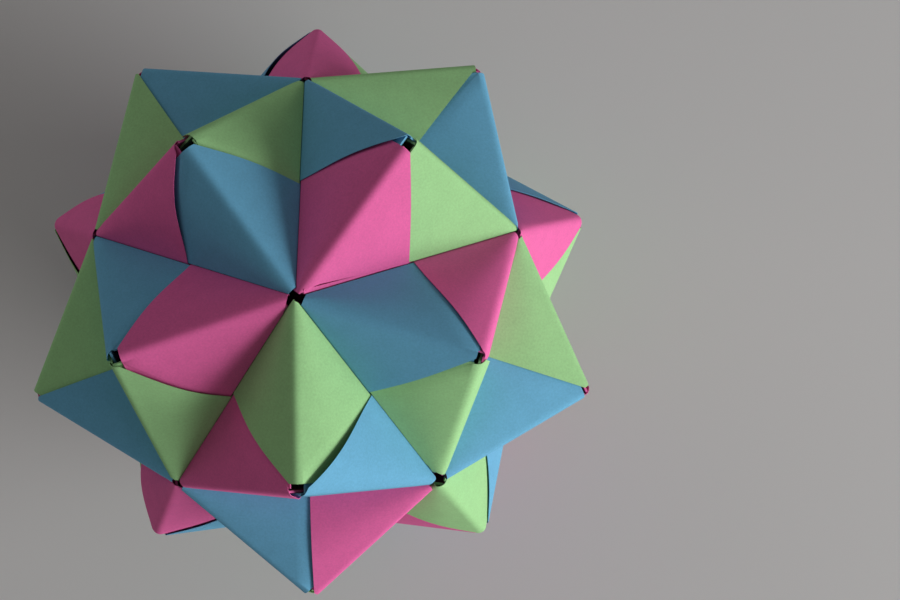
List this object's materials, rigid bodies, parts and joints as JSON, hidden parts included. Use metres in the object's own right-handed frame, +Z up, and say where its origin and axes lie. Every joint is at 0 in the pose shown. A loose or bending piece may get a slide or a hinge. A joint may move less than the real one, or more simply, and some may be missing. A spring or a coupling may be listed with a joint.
{
  "type": "modular origami paper ball",
  "caption": "Ball of folded paper units that lock by tabs and pockets into three-sided spikes, in blue, green and pink.",
  "frame": {"origin": "on the resting plane, below the ball's centre", "axes": "+Z up through the five-way corner at the top, +Y from the centre towards the upper five-way corner where crown_unit_1 ends, +X to the right seen from above"},
  "size_m": [0.1058, 0.1112, 0.0936],
  "materials": {
    "blue_paper": "matte",
    "green_paper": "matte",
    "pink_paper": "matte"
  },
  "bodies": {
    "root": {"crown_unit_1": "blue_paper", "crown_unit_2": "pink_paper", "crown_unit_3": "green_paper", "crown_unit_4": "blue_paper", "crown_unit_5": "pink_paper", "upper_ring_unit_1": "green_paper", "upper_ring_unit_2": "blue_paper", "upper_ring_unit_3": "pink_paper", "upper_ring_unit_4": "green_paper", "upper_ring_unit_5": "green_paper", "left_side_unit_1": "blue_paper", "left_side_unit_2": "green_paper", "left_side_unit_3": "blue_paper", "left_side_unit_4": "blue_paper", "left_side_unit_5": "blue_paper", "right_side_unit_1": "pink_paper", "right_side_unit_2": "pink_paper", "right_side_unit_3": "green_paper", "right_side_unit_4": "pink_paper", "right_side_unit_5": "pink_paper", "lower_ring_unit_1": "blue_paper", "lower_ring_unit_2": "green_paper", "lower_ring_unit_3": "pink_paper", "lower_ring_unit_4": "green_paper", "lower_ring_unit_5": "green_paper", "base_unit_1": "pink_paper", "base_unit_2": "pink_paper", "base_unit_3": "blue_paper", "base_unit_4": "green_paper", "base_unit_5": "blue_paper"}
  },
  "joints": []
}
